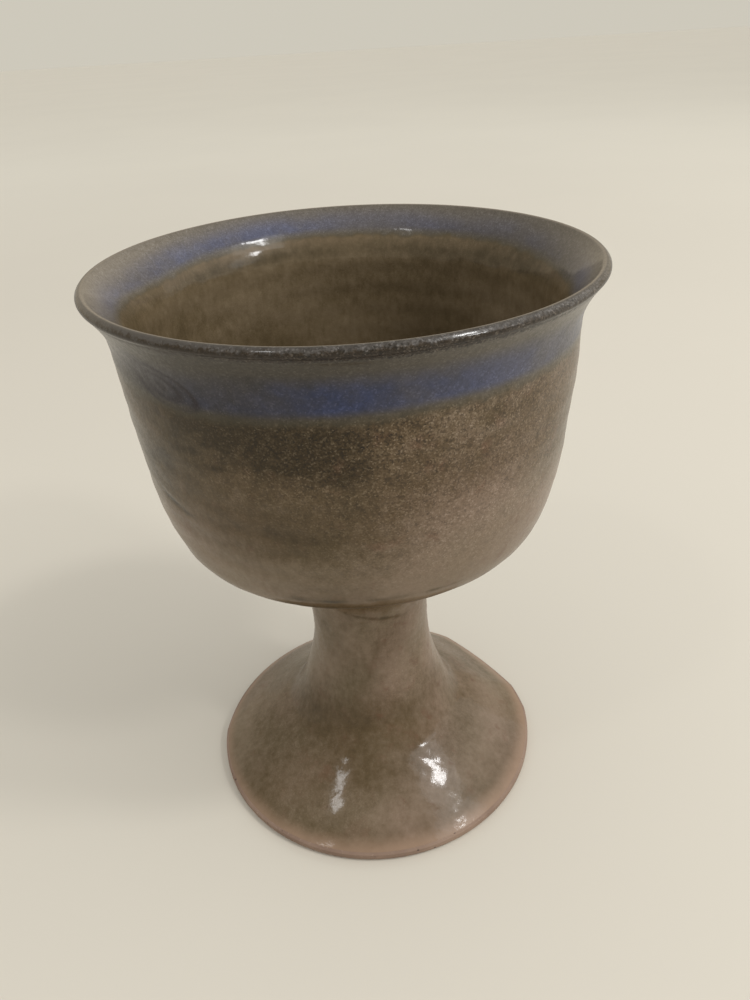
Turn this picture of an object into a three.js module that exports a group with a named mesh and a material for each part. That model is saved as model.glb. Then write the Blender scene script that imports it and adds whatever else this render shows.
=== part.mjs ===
// A wheel-thrown stoneware goblet in millimetres. Z is the axis of throwing and the foot ring
// stands on z = 0. The bowl and the hollow pedestal are thrown apart and stuck together with slip,
// and a coil of clay is smoothed round the joint. The foot was handled while soft, so its circle
// has two flatter stretches. A brown glaze coats the outside, another lines the bowl, and a cobalt
// glaze is dipped over the lip, so that its two edges wave round the wall.
import * as THREE from "three";

// Pedestal, from the table up
const footRadius = 46;
const footRingWidth = 5.4;
const footEdgeRound = 1.1;
const glazeLine = 3.4;
const skirtTopRadius = 25.5;
const skirtTopHeight = 15.2;
const flareHeight = 30.8;
const stemRadius = 15.85;
const stemLength = 8.8;
const pedestalWall = 3.9;
const sideFlat = 3.7;
const backFlat = 1.7;

// Joint of slip with a clay collar round it
const slipThickness = 1;
const collarLength = 9.6;
const collarStep = 0.6;
const collarSpread = 6.2;
const collarRise = 2.4;

// Bowl, from its base up
const undersideRise = 17.2;
const turnRadius = 43.9;
const turnRound = 1.8;
const sideHeight = 46.8;
const neckRadius = 50.3;
const lipRise = 12.05;
const lipFlare = 4.7;
const lipWall = 0.9;
const bowlWall = 3.5;
const floorWall = 4.2;
const hollowShoulderOut = 1;
const hollowShoulderUp = 3;
const hollowFloorIn = 6;
const neckDraw = 0.3;

// Glazes, and the gap that is left under each of them
const glazeThickness = 0.4;
const clearance = 0.3;
const rimGlazeOutside = 14.6;
const rimGlazeInside = 9;
const waveHeight = 0.9;

// All pieces have their vertices at the same angles round the axis
const segments = 44;

// Directions of the outline, as angles above the horizontal
const degrees = (angle) => (angle * Math.PI) / 180;
const undersideStart = degrees(26);
const undersideEnd = degrees(42);
const sideStart = degrees(66);
const lipSlope = degrees(50);
const quarterTurn = degrees(90);

// Directions round the axis, from the front towards the right, of the foot's two flatter stretches
const sideFlatTurn = degrees(123);
const backFlatTurn = degrees(208);

const skin = glazeThickness + clearance;
const lipRound = lipWall / 2 + skin;
const flareTop = skirtTopHeight + flareHeight;
const collarFootHeight = flareTop + stemLength;
const collarHeight = collarFootHeight + collarStep;
const pedestalHeight = collarHeight + collarLength;
const bowlBase = pedestalHeight + slipThickness;
const floorHeight = bowlBase + floorWall + skin;
const turnHeight = bowlBase + undersideRise;
const neckHeight = turnHeight + sideHeight;
const lipHeight = neckHeight + lipRise;
const crestHeight = lipHeight + lipRound;

const at = (radius, height) => new THREE.Vector2(radius, height);
const step = (from, angle, length) => at(
  from.x + length * Math.cos(angle),
  from.y + length * Math.sin(angle),
);
const bezier = (...points) => new THREE.CubicBezierCurve(...points);

// A curve's points without the first, so that curves can follow each other
const rest = (curve, divisions) => curve.getPoints(divisions).slice(1);

// Pedestal as it looks under its glaze coat: a straight skirt, a long flare and a short stem
function pedestalOutline() {
  const glazeStart = at(footRadius - glazeThickness, glazeLine);
  const skirtTop = at(skirtTopRadius, skirtTopHeight);
  const skirtSlope = skirtTop.clone().sub(glazeStart).angle();
  const flare = bezier(
    skirtTop,
    step(skirtTop, skirtSlope, flareHeight * 0.13),
    at(stemRadius, flareTop - flareHeight * 0.45),
    at(stemRadius, flareTop),
  );
  return [
    glazeStart,
    ...rest(new THREE.LineCurve(glazeStart, skirtTop), 2),
    ...rest(flare, 6),
    at(stemRadius, collarFootHeight),
  ];
}

// The collar's edge on the stem, and the cove that runs from it out under the bowl
function collarOutline() {
  const edge = at(stemRadius + collarStep, collarHeight + collarStep);
  const end = at(stemRadius + collarSpread, bowlBase + collarRise);
  const cove = bezier(
    edge,
    at(edge.x + collarStep / 3, (edge.y + bowlBase) / 2),
    step(end, undersideStart, -collarSpread / 2),
    end,
  );
  return [edge, ...rest(cove, 4)];
}

// Outside of the bowl from the collar to the crest of the lip
function bowlOutline(start) {
  const turn = at(turnRadius, turnHeight);
  const turnIn = step(turn, undersideEnd, -turnRound);
  const turnOut = step(turn, sideStart, turnRound);
  const handle = undersideRise * 0.4;
  const underside = bezier(
    start,
    step(start, undersideStart, handle),
    step(turnIn, undersideEnd, -handle),
    turnIn,
  );
  const neck = at(neckRadius, neckHeight);
  const side = bezier(
    turnOut,
    step(turnOut, sideStart, sideHeight * 0.15),
    at(neckRadius - neckDraw, neckHeight - sideHeight * 0.53),
    neck,
  );
  const lip = at(neckRadius + lipFlare - lipRound, lipHeight);
  const lipStart = step(lip, lipSlope - quarterTurn, lipRound);
  const flare = bezier(
    neck,
    at(neckRadius, neckHeight + lipRise * 0.45),
    step(lipStart, lipSlope, -lipRise * 0.3),
    lipStart,
  );
  const crest = new THREE.EllipseCurve(
    lip.x, lip.y, lipRound, lipRound, lipSlope - quarterTurn, quarterTurn,
  );
  return [
    ...rest(underside, 3),
    ...rest(new THREE.QuadraticBezierCurve(turnIn, turn, turnOut), 2),
    ...rest(side, 6),
    ...rest(flare, 4),
    ...rest(crest, 4),
  ];
}

// Inside of the bowl from the crest of the lip to the middle of its floor
function hollowOutline() {
  const lip = at(neckRadius + lipFlare - lipRound, lipHeight);
  const lipEnd = step(lip, lipSlope + quarterTurn, lipRound);
  const throat = at(neckRadius - bowlWall - 2 * skin, neckHeight);
  const crest = new THREE.EllipseCurve(
    lip.x, lip.y, lipRound, lipRound, quarterTurn, lipSlope + quarterTurn,
  );
  const flare = bezier(
    lipEnd,
    step(lipEnd, lipSlope, -lipRise * 0.35),
    at(throat.x + neckDraw, neckHeight + lipRise * 0.45),
    throat,
  );
  const hollow = bezier(
    throat,
    at(turnRadius + hollowShoulderOut, turnHeight + hollowShoulderUp),
    at(turnRadius - hollowFloorIn, floorHeight),
    at(0, floorHeight),
  );
  return [
    ...rest(crest, 2),
    ...rest(flare, 4),
    ...rest(hollow, 8),
  ];
}

// The whole outline that the eye meets, from the foot over the lip to the middle of the floor
const pedestalPoints = pedestalOutline();
const collarPoints = collarOutline();
const bowlPoints = bowlOutline(collarPoints.at(-1));
const hollowPoints = hollowOutline();
const outline = [...pedestalPoints, ...collarPoints, ...bowlPoints, ...hollowPoints];
const collarStart = pedestalPoints.length;
const bowlStart = collarStart + collarPoints.length - 1;
const crestIndex = bowlStart + bowlPoints.length;
const lastIndex = outline.length - 1;

// Unit normals of the outline, which point out of the wall
const normals = outline.map((point, i) => {
  const before = outline[Math.max(i - 1, 0)];
  const after = outline[Math.min(i + 1, lastIndex)];
  const into = point.clone().sub(before).normalize();
  const onwards = after.clone().sub(point).normalize();
  const tangent = into.add(onwards).normalize();
  return at(tangent.y, -tangent.x);
});

// The outline set back into the wall; its last point stays on the axis
function setBack(depth) {
  const moved = outline.map((point, i) => point.clone().addScaledVector(normals[i], -depth));
  moved[lastIndex].x = 0;
  return moved;
}

// The point a fraction of the way between two of a line's points
function between(line, index) {
  const low = Math.min(Math.floor(index), line.length - 2);
  return line[low].clone().lerp(line[low + 1], index - low);
}

// Where the outline passes a height, looked for from one of its points to another
function indexAtHeight(height, from, to) {
  for (let i = from; i < to; i += 1) {
    const share = (height - outline[i].y) / (outline[i + 1].y - outline[i].y);
    if (share >= 0 && share <= 1) return i + share;
  }
  return to;
}

// Height of a dipped edge round the wall, as slow waves about its mean
const wave = (angle, turned) => waveHeight * (
  0.5 * Math.sin(2 * angle + turned)
  + 0.3 * Math.sin(3 * angle + 2 * turned)
  + 0.2 * Math.sin(5 * angle - turned)
);
const outsideEdge = (angle, shift) => indexAtHeight(
  crestHeight - rimGlazeOutside + wave(angle, 0.8) + shift, bowlStart, crestIndex,
);
const insideEdge = (angle, shift) => indexAtHeight(
  crestHeight - rimGlazeInside + wave(angle, 3.9) + shift, crestIndex, lastIndex,
);

// Share of its full width that the foot keeps in a direction: each flatter stretch lies along a chord
function footWidth(angle) {
  const chords = [[sideFlat, sideFlatTurn], [backFlat, backFlatTurn]].map(([depth, turn]) => (
    (1 - depth / footRadius) / Math.max(Math.cos(angle - turn), 0.5)
  ));
  return Math.min(1, ...chords);
}

// A point of a section pushed in by the flatter stretches, which die out up to the stem
function pushedIn(point, angle) {
  const beyondStem = Math.max(point.x - stemRadius, 0);
  const strength = 1 - THREE.MathUtils.smoothstep(point.y, glazeLine, flareTop);
  return at(point.x - beyondStem * strength * (1 - footWidth(angle)), point.y);
}

// Angles of the vertices round the axis
const angles = Array.from({ length: segments + 1 }, (_, i) => (i * 2 * Math.PI) / segments);

// A solid turned about Z, whose closed section may change with the angle
function turned(sectionAt) {
  const section = sectionAt(0);
  const geometry = new THREE.LatheGeometry(section, segments);
  const position = geometry.attributes.position;
  angles.forEach((angle, ring) => {
    sectionAt(angle).forEach((point, row) => {
      const { x: radius, y: height } = pushedIn(point, angle);
      position.setXYZ(
        ring * section.length + row,
        radius * Math.sin(angle),
        height,
        radius * Math.cos(angle),
      );
    });
  });
  geometry.rotateX(quarterTurn);
  geometry.computeVertexNormals();
  return geometry;
}

// A glaze coat on the outline between two places, which may move with the angle
function coat(fromAt, toAt) {
  const face = outline;
  const back = setBack(glazeThickness);
  const first = Math.floor(Math.max(...angles.map(fromAt))) + 1;
  const last = Math.ceil(Math.min(...angles.map(toAt))) - 1;
  const inner = Array.from({ length: last - first + 1 }, (_, i) => first + i);
  return turned((angle) => {
    const places = [fromAt(angle), ...inner, toAt(angle)];
    const front = places.map((place) => between(face, place));
    const behind = places.map((place) => between(back, place)).reverse();
    const onAxis = toAt(angle) === lastIndex;
    return onAxis
      ? [...behind, ...front]
      : [...front, ...behind, front[0]];
  });
}

const stoneware = { color: 0x8a6c5c, roughness: 0.85, metalness: 0 };
const slip = { color: 0x7a6052, roughness: 0.9, metalness: 0 };
const brownGlaze = { color: 0x5e5344, roughness: 0.32, metalness: 0 };
const linerGlaze = { color: 0x4a3f2e, roughness: 0.25, metalness: 0 };
const cobaltGlaze = { color: 0x3a426b, roughness: 0.2, metalness: 0 };

const goblet = new THREE.Group();

function add(name, geometry, finish) {
  const mesh = new THREE.Mesh(geometry, new THREE.MeshStandardMaterial(finish));
  mesh.name = name;
  goblet.add(mesh);
}

// Clay faces that the glaze covers, and the bore that runs up through the pedestal
const clay = setBack(skin);
const boreRadius = stemRadius - skin - pedestalWall;
const neckOfPedestal = stemRadius - skin;

// Bowl: one thrown wall, thin at the lip, on a flat base under the collar
const bowlSection = [
  at(0, bowlBase),
  at(stemRadius, bowlBase),
  ...clay.slice(bowlStart),
];
add("bowl", turned(() => bowlSection), stoneware);

// Pedestal: a hollow skirt and stem on a flat ring with a rounded bare edge
const footRound = new THREE.EllipseCurve(
  footRadius - footEdgeRound, footEdgeRound, footEdgeRound, footEdgeRound, -quarterTurn, 0,
);
const pedestalInside = setBack(skin + pedestalWall).slice(1, collarStart - 1).reverse();
const pedestalSection = [
  at(footRadius - footRingWidth, 0),
  ...footRound.getPoints(2),
  at(footRadius, glazeLine - skin - collarStep),
  ...clay.slice(0, collarStart),
  at(neckOfPedestal, pedestalHeight),
  at(boreRadius, pedestalHeight),
  ...pedestalInside,
  at(footRadius - footRingWidth, 0),
];
add("pedestal", turned(() => pedestalSection), stoneware);

// Slip: the flat ring of clay paste that holds the bowl on the pedestal
const slipSection = [
  at(boreRadius, pedestalHeight),
  at(neckOfPedestal, pedestalHeight),
  at(neckOfPedestal, bowlBase),
  at(boreRadius, bowlBase),
  at(boreRadius, pedestalHeight),
];
add("luting_slip", turned(() => slipSection), slip);

// Collar: a coil of clay smoothed on to the stem and out under the bowl
const collarBore = neckOfPedestal + clearance;
const collarSection = [
  at(collarBore, clay[collarStart].y - collarStep),
  ...clay.slice(collarStart, bowlStart),
  at(stemRadius, bowlBase - clearance),
  at(collarBore, bowlBase - clearance),
  at(collarBore, clay[collarStart].y - collarStep),
];
add("joint_collar", turned(() => collarSection), stoneware);

// Glazes: outside from the foot to the dipped edge, inside from its other edge, and over the lip
const halfGap = clearance / 2;
add("outer_glaze", coat(() => 0, (angle) => outsideEdge(angle, -halfGap)), brownGlaze);
add("liner_glaze", coat((angle) => insideEdge(angle, -halfGap), () => lastIndex), linerGlaze);
add(
  "rim_glaze",
  coat((angle) => outsideEdge(angle, halfGap), (angle) => insideEdge(angle, halfGap)),
  cobaltGlaze,
);

export default goblet;
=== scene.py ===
import math

import bpy
import numpy as np
from mathutils import Matrix, Vector


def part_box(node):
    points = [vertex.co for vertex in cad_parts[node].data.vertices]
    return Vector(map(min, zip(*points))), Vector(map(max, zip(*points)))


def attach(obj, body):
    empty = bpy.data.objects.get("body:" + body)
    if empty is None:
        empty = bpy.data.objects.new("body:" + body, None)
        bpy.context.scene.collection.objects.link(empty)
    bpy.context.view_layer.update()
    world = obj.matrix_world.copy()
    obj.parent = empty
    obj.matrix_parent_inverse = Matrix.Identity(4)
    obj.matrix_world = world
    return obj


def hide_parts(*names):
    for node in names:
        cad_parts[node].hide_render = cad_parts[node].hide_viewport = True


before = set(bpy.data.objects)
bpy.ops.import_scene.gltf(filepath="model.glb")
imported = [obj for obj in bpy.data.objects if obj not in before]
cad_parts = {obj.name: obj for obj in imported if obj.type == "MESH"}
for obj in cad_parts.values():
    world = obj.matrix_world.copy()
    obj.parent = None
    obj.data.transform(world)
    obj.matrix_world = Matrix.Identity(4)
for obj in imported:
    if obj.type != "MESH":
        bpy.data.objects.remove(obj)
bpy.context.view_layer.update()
print("frame loaded, nodes:", sorted(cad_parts))

# Sizes of the goblet are in millimetres, and become metres when a mesh is written. The floor, the lamps and
# the camera's clipping are in metres.
mm = 0.001

# Camera, where the photograph was taken from
cameraView = {
    "lens": 27.36,
    "sensor": 36.0,
    "behind": 164.4,
    "above": 183.7,
    "tiltDown": 31.80,
    "turnRight": 1.27,
    "roll": -3.43,
    "nearClip": 0.005,
    "farClip": 60.0,
}


def newObject(name, data):
    # An object that is linked to the scene
    made = bpy.data.objects.new(name, data)
    bpy.context.scene.collection.objects.link(made)
    return made


def makeCamera(values):
    # The view direction is tilted down and turned to the right, then the picture is rolled about it
    tilt, turn, roll = (math.radians(values[k]) for k in ("tiltDown", "turnRight", "roll"))
    ahead = Vector((math.sin(turn) * math.cos(tilt), math.cos(turn) * math.cos(tilt), -math.sin(tilt)))
    right = ahead.cross(Vector((0, 0, 1))).normalized()
    up = right.cross(ahead)
    rolledRight = math.cos(roll) * right + math.sin(roll) * up
    rolledUp = -math.sin(roll) * right + math.cos(roll) * up
    data = bpy.data.cameras.new("photoCamera")
    data.lens = values["lens"]
    data.sensor_width = values["sensor"]
    data.clip_start = values["nearClip"]
    data.clip_end = values["farClip"]
    camera = newObject("photoCamera", data)
    turned = Matrix((rolledRight, rolledUp, -ahead)).transposed().to_4x4()
    place = Vector((0, -values["behind"] * mm, values["above"] * mm))
    camera.matrix_world = Matrix.Translation(place) @ turned
    bpy.context.scene.camera = camera


makeCamera(cameraView)
print("camera placed")


# Sizes that the frame gives
def boxOf(node):
    low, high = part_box(node)
    return np.array(low) / mm, np.array(high) / mm


slipLow, slipHigh = boxOf("luting_slip")
lipReach, _, crestHeight = boxOf("rim_glaze")[1]
footRadius = boxOf("pedestal")[1][0]
# From the clay to the face of the glaze over it
skin = 0.7
stemRadius = slipHigh[0] + skin
pedestalTop = slipLow[2]
bowlBase = slipHigh[2]

# Line of the pedestal, from the table up. A handle is the share of a curve's height over which it keeps the
# direction of its end.
pedestalLine = {
    "edgeRound": 1.3,
    "edgeHeight": 2.4,
    "edgeStep": 1.4,
    "edgeStepSlope": 149.6,
    "skirtTopRadius": 25.5,
    "skirtTopHeight": 15.2,
    "flareHeight": 30.8,
    "flareHandle": 0.13,
    "stemHandle": 0.45,
    "stemLength": 8.8,
    "collarStep": 0.18,
    "softening": 0.45,
    "glazeLine": 3.4,
}

# Line of the bowl, from the collar over the lip to the middle of its floor
bowlLine = {
    "collarSpread": 6.2,
    "collarRise": 2.4,
    "undersideRise": 17.2,
    "turnRadius": 43.9,
    "turnRound": 1.8,
    "sideHeight": 46.8,
    "neckRadius": 50.3,
    "lipRise": 12.05,
    "lipWall": 0.9,
    "bowlWall": 3.5,
    "floorWall": 4.2,
    "shoulderOut": 1.0,
    "shoulderUp": 3.0,
    "floorIn": 6.0,
    "neckDraw": 0.3,
    "undersideHandle": 0.4,
    "sideHandle": 0.15,
    "neckHandle": 0.53,
    "throatHandle": 0.45,
    "lipHandle": 0.3,
    "lipInsideHandle": 0.35,
    "undersideStart": 26.0,
    "undersideEnd": 42.0,
    "sideStart": 66.0,
    "lipSlope": 50.0,
}

# Distance between the points of the fine line
lineSpacing = 0.05


def at(radius, height):
    # A point of the section
    return np.array([radius, height], float)


def stepFrom(point, angle, length):
    # A point at a distance from another, in a direction given in degrees above the horizontal
    turn = math.radians(angle)
    return point + length * np.array([math.cos(turn), math.sin(turn)])


def bezier(a, b, c, d, count=160):
    # Cubic curve: the four points weighted by (1-t)^3, 3t(1-t)^2, 3t^2(1-t) and t^3
    t = np.linspace(0, 1, count)[:, None]
    return (1 - t) ** 3 * a + 3 * t * (1 - t) ** 2 * b + 3 * t ** 2 * (1 - t) * c + t ** 3 * d


def arc(centre, radius, fromAngle, toAngle, count=60):
    # Part of a circle between two directions in degrees
    turn = np.radians(np.linspace(fromAngle, toAngle, count))
    return centre + radius * np.stack([np.cos(turn), np.sin(turn)], 1)


def straight(a, b, count=60):
    # Points a share t of the way from a to b
    t = np.linspace(0, 1, count)[:, None]
    return a + t * (b - a)


def lookUp(places, run, points):
    # The line's points at some places along it, in proportion between their neighbours
    return np.stack([np.interp(places, run, column) for column in points.T], -1)


def evenly(points):
    # The same line with its points a fixed length apart
    run = np.r_[0, np.cumsum(np.hypot(*np.diff(points, axis=0).T))]
    keep = np.r_[True, np.diff(run) > 1e-9]
    run, points = run[keep], points[keep]
    places = np.linspace(0, run[-1], int(run[-1] / lineSpacing) + 1)
    return lookUp(places, run, points), places


def softened(points, width):
    # Each point becomes the bell-weighted mean of its neighbours; mirrored ends stay where they are
    reach = int(4 * width)
    offsets = np.arange(-reach, reach + 1)
    bell = np.exp(-0.5 * (offsets / width) ** 2)
    padded = np.r_[2 * points[:1] - points[reach:0:-1], points, 2 * points[-1:] - points[-2:-reach - 2:-1]]
    return np.stack([np.convolve(column, bell / bell.sum(), "valid") for column in padded.T], 1)


flareTop = pedestalLine["skirtTopHeight"] + pedestalLine["flareHeight"]
neckHeight = bowlBase + bowlLine["undersideRise"] + bowlLine["sideHeight"]
lipRound = bowlLine["lipWall"] / 2 + skin
lip = at(lipReach - lipRound, neckHeight + bowlLine["lipRise"])


def outsideLine():
    # Table edge, straight skirt, flare, stem, collar, underside, side, neck and lip up to its crest
    p, b = pedestalLine, bowlLine
    edgeFoot = at(footRadius - p["edgeRound"], 0)
    edgeOut = at(footRadius, p["edgeRound"])
    edgeTop = at(footRadius - 0.05, p["edgeHeight"])
    skirtTop = at(p["skirtTopRadius"], p["skirtTopHeight"])
    skirtFoot = stepFrom(edgeTop, p["edgeStepSlope"], p["edgeStep"])
    skirtWay = (skirtTop - skirtFoot) / np.linalg.norm(skirtTop - skirtFoot)
    flare = bezier(
        skirtTop,
        skirtTop + skirtWay * p["flareHeight"] * p["flareHandle"],
        at(stemRadius, flareTop - p["flareHeight"] * p["stemHandle"]),
        at(stemRadius, flareTop),
    )
    collarFoot = at(stemRadius, flareTop + p["stemLength"])
    collarEdge = collarFoot + at(p["collarStep"], 2 * p["collarStep"])
    coveEnd = at(stemRadius + b["collarSpread"], bowlBase + b["collarRise"])
    cove = bezier(
        collarEdge,
        at(collarEdge[0] + p["collarStep"] / 3, (collarEdge[1] + bowlBase) / 2),
        stepFrom(coveEnd, b["undersideStart"], -b["collarSpread"] / 2),
        coveEnd,
    )
    turn = at(b["turnRadius"], bowlBase + b["undersideRise"])
    turnIn = stepFrom(turn, b["undersideEnd"], -b["turnRound"])
    turnOut = stepFrom(turn, b["sideStart"], b["turnRound"])
    handle = b["undersideRise"] * b["undersideHandle"]
    underside = bezier(
        coveEnd,
        stepFrom(coveEnd, b["undersideStart"], handle),
        stepFrom(turnIn, b["undersideEnd"], -handle),
        turnIn,
    )
    turnCurve = bezier(turnIn, turnIn + (turn - turnIn) * 2 / 3, turnOut + (turn - turnOut) * 2 / 3, turnOut)
    side = bezier(
        turnOut,
        stepFrom(turnOut, b["sideStart"], b["sideHeight"] * b["sideHandle"]),
        at(b["neckRadius"] - b["neckDraw"], neckHeight - b["sideHeight"] * b["neckHandle"]),
        at(b["neckRadius"], neckHeight),
    )
    lipStart = stepFrom(lip, b["lipSlope"] - 90, lipRound)
    neck = bezier(
        at(b["neckRadius"], neckHeight),
        at(b["neckRadius"], neckHeight + b["lipRise"] * b["throatHandle"]),
        stepFrom(lipStart, b["lipSlope"], -b["lipRise"] * b["lipHandle"]),
        lipStart,
    )
    body = np.concatenate([
        straight(edgeTop, skirtFoot, 20),
        straight(skirtFoot, skirtTop),
        flare,
        straight(at(stemRadius, flareTop), collarFoot),
        straight(collarFoot, collarEdge, 12),
        cove,
        underside,
        turnCurve,
        side,
    ])
    body = softened(evenly(body)[0], p["softening"] / lineSpacing)
    edge = arc(edgeFoot + at(0, p["edgeRound"]), p["edgeRound"], -90, 0)
    crest = arc(lip, lipRound, b["lipSlope"] - 90, 90)
    return np.concatenate([edge, straight(edgeOut, edgeTop, 8), body, neck, crest])


def insideLine():
    # From the crest of the lip down the flare, the hollow and its floor to the axis
    b = bowlLine
    lipEnd = stepFrom(lip, b["lipSlope"] + 90, lipRound)
    throat = at(b["neckRadius"] - b["bowlWall"] - 2 * skin, neckHeight)
    floorHeight = bowlBase + b["floorWall"] + skin
    flare = bezier(
        lipEnd,
        stepFrom(lipEnd, b["lipSlope"], -b["lipRise"] * b["lipInsideHandle"]),
        at(throat[0] + b["neckDraw"], neckHeight + b["lipRise"] * b["throatHandle"]),
        throat,
    )
    hollow = bezier(
        throat,
        at(b["turnRadius"] + b["shoulderOut"], bowlBase + b["undersideRise"] + b["shoulderUp"]),
        at(b["turnRadius"] - b["floorIn"], floorHeight),
        at(0, floorHeight),
    )
    return np.concatenate([arc(lip, lipRound, 90, b["lipSlope"] + 90), flare, hollow])


# One fine line that the eye meets, from the table over the lip to the middle of the floor
line, along = evenly(np.concatenate([outsideLine(), insideLine()]))
crestAt = along[np.argmax(line[:, 1])]
endAt = along[-1]
tangent = softened(np.gradient(line, along, axis=0), 6)
tangent /= np.linalg.norm(tangent, axis=1, keepdims=True)
outward = np.stack([tangent[:, 1], -tangent[:, 0]], 1)


def lengthAtHeight(height):
    # Place on the outside line that lies nearest a height
    outside = along <= crestAt
    return along[outside][np.argmin(np.abs(line[outside, 1] - height))]


collarAt = lengthAtHeight(flareTop + pedestalLine["stemLength"])
turnAt = lengthAtHeight(bowlBase + bowlLine["undersideRise"])
flareTopAt = lengthAtHeight(flareTop)
skirtTopAt = lengthAtHeight(pedestalLine["skirtTopHeight"])
print("outline", round(float(endAt), 1), "mm long, crest at", round(float(crestAt), 1))

# Unevenness of the throwing, heights in millimetres
throwing = {
    "ringHeight": 0.055,
    "bowlRingPitch": 5.2,
    "insideRingPitch": 6.0,
    "stemRingPitch": 2.6,
    "skirtWave": 0.14,
    "skirtWavePitch": 17.0,
    "skirtWaveTurn": 1.25,
    "lumpHeight": 0.10,
    "rippleHeight": 0.011,
    "lipDrop": 0.07,
    "rollGroove": 0.09,
    "rollFlat": 0.12,
    "dipStep": 0.05,
    "stemDrift": 0.4,
}

# Flatter stretches of the foot's circle, how rounded their corners are, and how far the back is drawn in
footShape = {
    "flats": [{"depth": 5.4, "direction": 37.0}, {"depth": 1.7, "direction": 118.0}],
    "corner": 0.014,
    "backDraw": 4.8,
    "backSpread": 0.8,
}

# Marks that fingers left in the wet clay: direction round the axis, distance below the crest, half length,
# half width, slope in degrees, and height
fingerMarks = {
    "leftDent": (-140.3, 41.1, 5.5, 0.8, -14.0, -0.26),
    "leftRidge": (-139.2, 34.0, 12.0, 1.8, 17.0, 0.10),
    "backDent": (64.0, 38.0, 7.0, 1.0, 12.0, -0.18),
}


def smooth(low, high, value):
    # 0 below low, 1 above high, and an even slope between that starts and ends level
    t = np.clip((value - low) / (high - low), 0, 1)
    return t * t * (3 - 2 * t)


def bump(middle, width, value):
    # 1 in the middle and falling away as a bell curve
    return np.exp(-((value - middle) / width) ** 2)


def angleFrom(azimuth, direction):
    # Difference from a direction in degrees, between -180 and 180
    return (np.degrees(azimuth) - direction + 180) % 360 - 180


def facing(azimuth, direction, width):
    # 1 in a direction and falling away to both sides of it, in degrees
    return bump(0, width, angleFrom(azimuth, direction))


def waves(place, azimuth, seed, count, turns, lengths):
    # Sum of plane waves with whole numbers of turns round the axis, so that the seam closes
    draw = np.random.default_rng(seed)
    total = np.zeros(np.broadcast(place, azimuth).shape)
    for _ in range(count):
        turnsRound = draw.integers(turns[0], turns[1] + 1) * draw.choice([-1, 1])
        wavelength = draw.uniform(*lengths)
        phase = draw.uniform(0, 2 * math.pi)
        total += draw.normal() * np.sin(turnsRound * azimuth + 2 * math.pi * place / wavelength + phase)
    return total / math.sqrt(count / 2)


def spiral(place, azimuth, pitch, turned=0.0):
    # Ridge of a finger that climbs one pitch in each turn of the wheel
    return np.sin(2 * math.pi * place / pitch - azimuth + turned)


def unrolled(place, azimuth, direction, below, slope):
    # Distances along and across a sloping line through a spot of the unrolled wall
    across = np.radians(angleFrom(azimuth, direction)) * bowlLine["neckRadius"]
    up = place - (crestAt - below)
    turn = math.radians(slope)
    return across * math.cos(turn) + up * math.sin(turn), up * math.cos(turn) - across * math.sin(turn)


def strokes(marks, place, azimuth):
    # Sum of short sloping lines: each falls away as a bell curve to the sides and faster at the ends
    total = 0
    for direction, below, halfLength, halfWidth, slope, amount in marks.values():
        lengthwise, sideways = unrolled(place, azimuth, direction, below, slope)
        total = total + amount * np.exp(-(sideways / halfWidth) ** 2 - (lengthwise / halfLength) ** 4)
    return total


def relief(place, azimuth):
    # Height of the surface above the turned line: finger ridges, slow lumps, glaze ripple and marks
    t = throwing
    outside = smooth(crestAt + 1, crestAt - 1, place)
    side = smooth(turnAt - 4, turnAt + 12, place) * smooth(crestAt - 15, crestAt - 22, place)
    stem = smooth(flareTopAt - 22, flareTopAt - 8, place) * smooth(collarAt + 1, collarAt - 3, place)
    skirt = smooth(2, 8, place) * smooth(flareTopAt - 10, flareTopAt - 22, place)
    within = smooth(crestAt + 12, crestAt + 22, place)
    fade = 0.6 + 0.4 * waves(place, azimuth, 5, 8, (0, 3), (30, 90))
    rings = (
        side * spiral(place, azimuth, t["bowlRingPitch"])
        + 0.9 * stem * spiral(place, azimuth, t["stemRingPitch"])
        + 0.9 * within * spiral(place, azimuth, t["insideRingPitch"])
    )
    calm = (1 - 0.95 * bump(crestAt, 7, place)) * smooth(1.8, 6.5, place) * smooth(0, 14, endAt - place)
    onFoot = outside * smooth(flareTopAt - 8, skirtTopAt + 2, place)
    rightFront = 0.5 + 0.5 * facing(azimuth, -52, 34)
    skirtWaves = t["skirtWave"] * skirt * spiral(place, azimuth, t["skirtWavePitch"], t["skirtWaveTurn"])
    lumps = waves(place, azimuth, 11, 26, (0, 7), (18, 70)) * t["lumpHeight"] * (1 - 0.85 * onFoot)
    dents = waves(place, azimuth, 23, 40, (4, 24), (6, 22)) * t["lumpHeight"] * 0.30 * (1 - 0.8 * onFoot)
    ripple = waves(place, azimuth, 37, 60, (20, 70), (3, 8)) * t["rippleHeight"] * (1 - 0.25 * onFoot)
    marks = strokes(fingerMarks, place, azimuth)
    lip = t["lipDrop"] * bump(crestAt, 5, place) + t["rollGroove"] * bump(crestAt - 3.1, 0.5, place)
    lip = lip + t["rollFlat"] * bump(crestAt - 0.9, 0.6, place)
    uneven = rings * fade * t["ringHeight"] + skirtWaves * rightFront + lumps + dents + ripple + marks
    return uneven * calm - lip


def footWidth(azimuth):
    # Share of the foot's full width that is left: each flatter stretch lies along a chord, and the lesser
    # of chord and circle is taken with a soft corner. The back is drawn in a little as a whole.
    softness = footShape["corner"]
    drawn = footShape["backDraw"] / footRadius * np.maximum(np.sin(azimuth), 0) ** footShape["backSpread"]
    kept = np.exp(-1 / softness) * np.ones(np.shape(azimuth))
    for flat in footShape["flats"]:
        apart = np.radians(angleFrom(azimuth, flat["direction"]))
        chord = (1 - flat["depth"] / footRadius) / np.maximum(np.cos(apart), 0.5)
        kept = kept + np.exp(-chord / softness)
    return np.minimum(-np.log(kept) * softness, 1 - drawn)


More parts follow.
